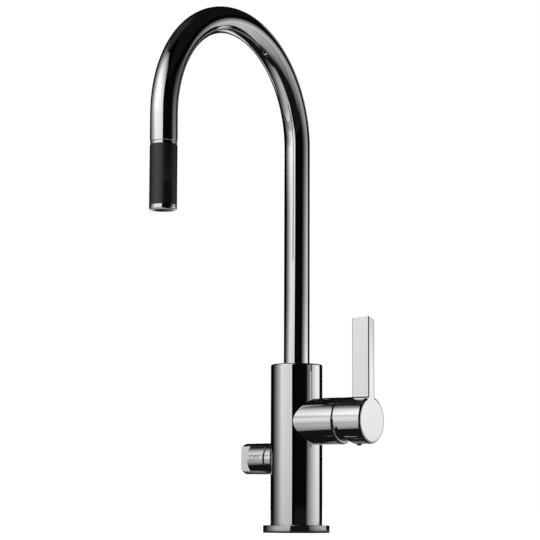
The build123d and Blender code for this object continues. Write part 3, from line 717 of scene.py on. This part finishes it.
# Lever
# Hub and blade are one zinc casting, polished and chrome plated; a plug hides the screw
# that holds it on the spindle. It is buffed a little softer than the round parts.
lever_chrome = chrome_plate("polished_chrome_plate_on_casting", (0.03, 0.06))
dress(lever_chrome, "lever_handle", "lever_plug")


# Shut-off valve and its knob
# A quarter-turn ceramic valve on the left, with a chromed collar on the column and
# a chromed turned knob with two flats at its end.
knob_chrome = chrome_plate("polished_chrome_plate_on_knob", (0.03, 0.05))
dress(knob_chrome, "valve_collar", "valve_knob")
dress(seal_rubber, "valve_gasket", "valve_seat_seal", "valve_ring")
dress(disc_ceramic, "valve_fixed_disc", "valve_moving_disc")


# Knob lettering
# The plain words OFF and ON, engraved in the knob and filled with grey lacquer. OFF faces
# front when the valve is shut, and ON comes to the front after a quarter turn.

knob_radius = 14.45
knob_height = 68.3
word_height = 4.3
word_place = -38.0
word_rise = 0.9
lacquer_stands = 0.03


def word_on_knob(name, word, quarter, material):
    """A word wrapped on the knob's barrel.

    Its flat letters are cut in thin strips across, and each point's height becomes an angle
    round the barrel, height over radius, from the front or from a quarter turn below it.
    """
    flat = bpy.data.curves.new(name, "FONT")
    flat.body = word
    flat.align_x = "CENTER"
    flat.align_y = "CENTER"
    flat.space_character = 1.1
    flat.resolution_u = 6
    drawn = bpy.data.objects.new(name + "_drawn", flat)
    bpy.context.scene.collection.objects.link(drawn)
    bpy.context.view_layer.update()
    mesh = bpy.data.meshes.new_from_object(drawn)
    bpy.data.objects.remove(drawn)
    cut = bmesh.new()
    cut.from_mesh(mesh)
    tall = [v.co.y for v in cut.verts]
    low, high = min(tall), max(tall)
    for level in np.linspace(low, high, 12)[1:-1]:
        parts = cut.verts[:] + cut.edges[:] + cut.faces[:]
        bmesh.ops.bisect_plane(cut, geom=parts, plane_co=(0, level, 0), plane_no=(0, 1, 0))
    cut.to_mesh(mesh)
    cut.free()
    points = np.empty(len(mesh.vertices) * 3)
    mesh.vertices.foreach_get("co", points)
    points = points.reshape(-1, 3) * word_height / (high - low)
    angle = (word_rise + points[:, 1]) / knob_radius - quarter * pi / 2
    wrapped = np.stack(
        [
            word_place + points[:, 0],
            -(knob_radius + lacquer_stands) * np.cos(angle),
            knob_height + (knob_radius + lacquer_stands) * np.sin(angle),
        ],
        axis=1,
    )
    mesh.vertices.foreach_set("co", (wrapped / 1000).ravel())
    mesh.name = name
    mesh.materials.clear()
    mesh.materials.append(material)
    made = bpy.data.objects.new(name, mesh)
    bpy.context.scene.collection.objects.link(made)
    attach(made, "valve")


# Lacquer in an engraved letter: satin grey, a little uneven in the groove.
lacquer, tree, place = start_finish("engraved_lacquer_fill")
pool = add(tree, "TexNoise", {"Vector": place, "Scale": per_mm(0.6), "Detail": 2.0})
tone = add(
    tree,
    "Mix",
    {0: pool.outputs["Fac"], 6: linear("#6F6D66"), 7: linear("#8B8878")},
    data_type="RGBA",
)
shader = add(
    tree,
    "BsdfPrincipled",
    {
        "Base Color": tone.outputs[2],
        "Roughness": 0.5,
    },
)
add(tree, "OutputMaterial", {"Surface": shader.outputs[0]})
word_on_knob("knob_word_off", "OFF", 0, lacquer)
word_on_knob("knob_word_on", "ON", 1, lacquer)


# Floor and studio
# A white floor with the tap's soft shadow and a white background. The chrome shows a
# dark room instead, with a tall soft box on the left, a low one on the right, and painted light
# and a painted reflection on the floor.

# Matte white paint. The camera sees it lifted towards white, and the chrome sees it dark.
floor_white, tree, _ = start_finish("matte_white_floor")
paths = add(tree, "LightPath")
matte = add(tree, "BsdfDiffuse", {"Color": linear("#E6E6E6")})
lift = add(tree, "Math", {0: paths.outputs["Is Camera Ray"], 1: 0.45}, operation="MULTIPLY")
lifted = add(tree, "Emission", {"Strength": lift.outputs[0]})
lit = add(tree, "AddShader", {0: matte.outputs[0], 1: lifted.outputs[0]})
seen_in_metal = add(tree, "Emission", {"Color": linear("#1A1A1A")})
both = add(
    tree,
    "MixShader",
    {0: paths.outputs["Is Glossy Ray"], 1: lit.outputs[0], 2: seen_in_metal.outputs[0]},
)
add(tree, "OutputMaterial", {"Surface": both.outputs[0]})
far = 8.0
corners = [(-far, -far, 0), (far, -far, 0), (far, far, 0), (-far, far, 0)]
floor_mesh = bpy.data.meshes.new("floor")
floor_mesh.from_pydata(corners, [], [(0, 1, 2, 3)])
floor_mesh.materials.append(floor_white)
floor = bpy.data.objects.new("floor", floor_mesh)
bpy.context.scene.collection.objects.link(floor)


def light_sheet(name, points, glow, upwards_only=False, low_angle=False):
    """A sheet on a grid of points that only mirrors see, with the light that each point gives.

    One that lights upwards only is clear from below. One for low angles is a painted reflection
    that adds
    its glow to what lies behind it: none down to 25 degrees off the sheet, all of it from 19 to 5
    degrees, and none under 3 degrees.
    """
    rows, columns = glow.shape
    index = np.arange(rows * columns).reshape(rows, columns)
    cells = np.stack([index[:-1, :-1], index[:-1, 1:], index[1:, 1:], index[1:, :-1]], -1)
    mesh = bpy.data.meshes.new(name)
    mesh.from_pydata(points.reshape(-1, 3).tolist(), [], cells.reshape(-1, 4).tolist())
    strength = mesh.attributes.new("glow", "FLOAT", "POINT")
    strength.data.foreach_set("value", glow.astype(np.float32).ravel())
    material, tree, _ = start_finish(name + "_light")
    light = add(tree, "Attribute", attribute_name="glow").outputs["Fac"]
    if low_angle:
        slant = add(tree, "LayerWeight", {"Blend": 0.5}).outputs["Facing"]
        low = add(
            tree,
            "MapRange",
            {"Value": slant, "From Min": 0.58, "From Max": 0.68, "To Max": light},
        )
        flattest = add(tree, "MapRange", {"Value": slant, "From Min": 0.95, "From Max": 0.92})
        level = add(
            tree, "Math", {0: low.outputs[0], 1: flattest.outputs[0]}, operation="MULTIPLY"
        )
        # Painted reflection: the sheet glows only where it is seen at a low angle.
        painted_reflection_glow = add(tree, "Emission", {"Strength": level.outputs[0]})
        clear = add(tree, "BsdfTransparent")
        shine = add(tree, "AddShader", {0: painted_reflection_glow.outputs[0], 1: clear.outputs[0]})
    else:
        shine = add(tree, "Emission", {"Strength": light})
    if upwards_only:
        side = add(tree, "NewGeometry")
        clear = add(tree, "BsdfTransparent")
        shine = add(
            tree,
            "MixShader",
            {0: side.outputs["Backfacing"], 1: shine.outputs[0], 2: clear.outputs[0]},
        )
    add(tree, "OutputMaterial", {"Surface": shine.outputs[0]})
    mesh.materials.append(material)
    sheet = bpy.data.objects.new(name, mesh)
    bpy.context.scene.collection.objects.link(sheet)
    sheet.visible_camera = False
    sheet.visible_diffuse = False
    sheet.visible_shadow = False
    sheet.visible_transmission = False


# The camera's own place round the tap, from its front towards its right.
heading = radians(34.34)


def around(angle, reach, height):
    """Points round the column, at a reach from its axis and a height, both in metres.

    The angle is in degrees, from the camera's side of the tap towards the camera's right.
    """
    turn = heading - pi / 2 + np.radians(angle)
    return np.stack([reach * np.cos(turn), reach * np.sin(turn), height + 0 * turn], axis=-1)


def left_wall(angle):
    """How far the left box stands from the column at an angle to the left: it bends away."""
    return np.interp(angle, [20, 40, 60, 80], [0.5, 0.65, 0.9, 1.0])


def right_wall(angle):
    """How far the right box stands from the column at an angle to the right."""
    return np.interp(angle, [60, 90, 110, 130], [0.62, 0.78, 1.0, 1.35])


# The left box is twice as bright 0.6 m up as at the floor, and fades towards its far end, sooner
# at its waist. Its top slopes down to its near edge, which leans forward. A band of it is a
# little brighter, where the blade mirrors it.
left, height = np.meshgrid(np.linspace(8, 130, 180), np.linspace(0, 1.8, 100))
near_edge = np.clip(left - 19 + np.interp(height, [0.1, 0.2, 0.35], [0, -1, 3]), 0, 1)
waist = np.interp(
    height,
    [0.22, 0.27, 0.32, 0.4, 0.45, 0.5, 0.55, 0.8, 1.2],
    [0, 5, 11, 13, 15, 9, 5, 6, 0],
)
across = np.interp(
    left + waist,
    [20, 35, 55, 70, 85, 95, 110, 126],
    [0.95, 0.92, 1, 0.96, 0.55, 0.35, 0.15, 0],
)
blade_band = np.interp(left, [61, 67, 70, 76], [0, 0.09, 0.09, 0])
blade_band *= np.interp(height, [0.1, 0.18, 0.28, 0.33], [0, 1, 1, 0])
rise = np.interp(height, [0, 0.1, 0.25, 0.4, 0.6], [0.58, 0.72, 0.82, 0.9, 1.25])
top = np.interp(left, [20, 30, 40, 50, 60, 75], [0.77, 1.0, 1.27, 1.55, 1.72, 1.8])
soft_top = np.interp(left, [20, 30, 45, 60], [0.4, 0.5, 0.75, 0.85])
fade = np.clip((top - height) / soft_top, 0, 1)
glow = near_edge * across * (1 + blade_band) * rise * fade
light_sheet("left_soft_box", around(-left, left_wall(left), height), glow)

# The right box is lower. It brightens from its near edge to its far end, later the higher up.
right, height = np.meshgrid(np.linspace(42, 130, 140), np.linspace(0, 0.75, 50))
steepness = np.interp(height, [0, 0.15, 0.22, 0.3, 0.45], [0.7, 1.0, 1.2, 1.55, 2.0])
slope = np.clip((right - 43) / 53, 0, 1) ** steepness
far_edge = np.clip((125 - right) / 5, 0, 1)
rise = np.interp(
    height,
    [0, 0.15, 0.22, 0.3, 0.4, 0.5, 0.6, 0.7],
    [0.7, 0.92, 0.96, 0.64, 0.56, 0.38, 0.15, 0],
)
light_sheet("right_soft_box", around(right, right_wall(right), height), slope * far_edge * rise)

# A thin shelf in front of each box gives a dimmer light upwards, to the arch.
shelf_height = 0.3
right, share = np.meshgrid(np.linspace(127, 44, 84), np.linspace(0.36, 1.02, 12))
glow = np.interp(
    right,
    [44, 55, 65, 75, 85, 95, 105, 115, 124, 127],
    [0.06, 0.14, 0.22, 0.29, 0.38, 0.46, 0.53, 0.5, 0.4, 0],
)
glow *= np.interp(share, [0.6, 0.8, 1], [1, 1.1, 0.85])
spots = around(right, share * right_wall(right), shelf_height)
light_sheet("dim_shelf", spots, glow, upwards_only=True)
left, share = np.meshgrid(np.linspace(19, 127, 109), np.linspace(0.36, 1.02, 12))
glow = np.interp(
    left,
    [19, 20, 34, 50, 58, 66, 74, 82, 90, 98, 106, 114, 126],
    [0, 0.43, 0.46, 0.48, 0.42, 0.34, 0.27, 0.2, 0.14, 0.1, 0.08, 0.06, 0],
)
glow *= np.interp(share, [0.5, 1], [1, 1.4])
spots = around(-left, share * left_wall(left), shelf_height)
light_sheet("left_shelf", spots, glow, upwards_only=True)

# A faint card behind gives the arch's outer side its thin grey edge.
angle, height = np.meshgrid(np.linspace(136, 176, 21), np.linspace(0.65, 1.35, 15))
glow = 0.25 * np.interp(angle, [136, 146, 166, 176], [0, 1, 1, 0])
glow *= np.interp(height, [0.65, 0.8, 1.2, 1.35], [0, 1, 1, 0])
light_sheet("faint_card", around(angle, 1.4, height), glow)

# Painted floor light: a sheet on the floor that only the chrome sees glows in front of both boxes
# and in patches behind the tap, beside the knob and beside the branch, and is left dark at the
# tap's foot as painted shade.
angle, reach = np.meshgrid(np.linspace(-180, 180, 241), np.geomspace(0.045, 2.0, 50))
left_floor = np.interp(-angle, [20, 22, 50, 70, 90, 105, 125], [0, 0.9, 1, 0.9, 0.5, 0.25, 0])
left_floor *= np.interp(reach, [0.12, 0.135, 0.2, 0.3, 0.5], [0, 0.27, 0.38, 0.48, 0.48])
right_floor = np.interp(
    angle, [42, 44, 56, 70, 90, 110, 119, 124], [0, 0.22, 0.35, 0.7, 0.9, 1.1, 1.05, 0]
)
right_floor *= np.interp(reach, [0.12, 0.2, 0.3, 0.5, 0.8, 1.0], [0, 0.32, 0.4, 0.42, 0.47, 0.5])
behind = np.clip((np.abs(angle) - 160) / 8, 0, 1)
behind *= np.interp(reach, [0.7, 0.85, 1.3, 1.4], [0, 0.5, 0.5, 0])
knob_side = np.interp(-angle, [124, 130, 145, 150], [0, 0.18, 0.18, 0])
knob_side *= np.interp(reach, [0.074, 0.078, 0.096, 0.1], [0, 1, 1, 0])
branch_side = np.interp(angle, [115, 130, 170, 180], [0, 0.13, 0.13, 0])
branch_side *= np.interp(reach, [0.14, 0.17], [1, 0])
glow = 0.008 + left_floor + right_floor + behind + knob_side + branch_side
light_sheet("painted_floor_glow", around(angle, reach, 0.0002), glow)

# Painted reflection: a clear sheet on the floor glows behind and beside the tap where the chrome
# sees it at a low angle, in place of a polished floor mirroring pale walls.
far_side = np.clip((np.abs(angle) - 126) / 6, 0, 1) * np.interp(reach, [0.15, 0.25], [0, 1])
both_sides = np.clip((np.abs(angle - 11.5) - 31) / 2, 0, 1)
both_sides *= np.interp(reach, [0.05, 0.12, 0.17, 0.25], [0, 1, 1, 0])
glow = 0.5 * far_side + 0.3 * both_sides
light_sheet("painted_floor_reflection", around(angle, reach, 0.0004), glow, low_angle=True)

# The ceiling gives the tops a faint grey.
angle, reach = np.meshgrid(np.linspace(-180, 180, 49), np.linspace(0.01, 3, 13))
glow = 0.006 + 0.022 * np.interp(-angle, [50, 80, 140, 165], [0, 1, 1, 0])
light_sheet("dim_ceiling", around(angle, reach, 2.4), glow)

world = bpy.data.worlds.new("studio")
world.use_nodes = True
tree = world.node_tree
tree.nodes.clear()
paths = add(tree, "LightPath")
sky = add(tree, "Background", {"Color": (1, 1, 1, 1), "Strength": 1.0})
dark_room = add(tree, "Background", {"Color": linear("#080808"), "Strength": 1.0})
both = add(
    tree,
    "MixShader",
    {0: paths.outputs["Is Glossy Ray"], 1: sky.outputs[0], 2: dark_room.outputs[0]},
)
add(tree, "OutputWorld", {"Surface": both.outputs[0]})
bpy.context.scene.world = world
bpy.context.scene.view_settings.view_transform = "Standard"


# Camera
# It stands low, 1.8 m from the tap and 34 degrees right of its front, and looks slightly up.
distance = 1.8229
eye_height = 0.0248
turned_by = radians(0.793)
tilt = radians(6.868)
roll = radians(0.219)
eye = Vector((sin(heading) * distance, -cos(heading) * distance, eye_height))
aim = heading + turned_by
forward = Vector((-sin(aim) * cos(tilt), cos(aim) * cos(tilt), sin(tilt)))
level_right = Vector((cos(aim), sin(aim), 0))
level_up = level_right.cross(forward)
to_right = level_right * cos(roll) + level_up * sin(roll)
to_top = level_up * cos(roll) - level_right * sin(roll)
focal_pixels = 1955.8
frame_pixels = 540
camera = bpy.data.objects.new("camera", bpy.data.cameras.new("camera"))
camera.data.sensor_width = 36.0
camera.data.lens = focal_pixels / frame_pixels * camera.data.sensor_width
camera.data.clip_start = 0.05
camera.matrix_world = Matrix(
    (
        (to_right.x, to_top.x, -forward.x, eye.x),
        (to_right.y, to_top.y, -forward.y, eye.y),
        (to_right.z, to_top.z, -forward.z, eye.z),
        (0, 0, 0, 1),
    )
)
bpy.context.scene.collection.objects.link(camera)
bpy.context.scene.camera = camera
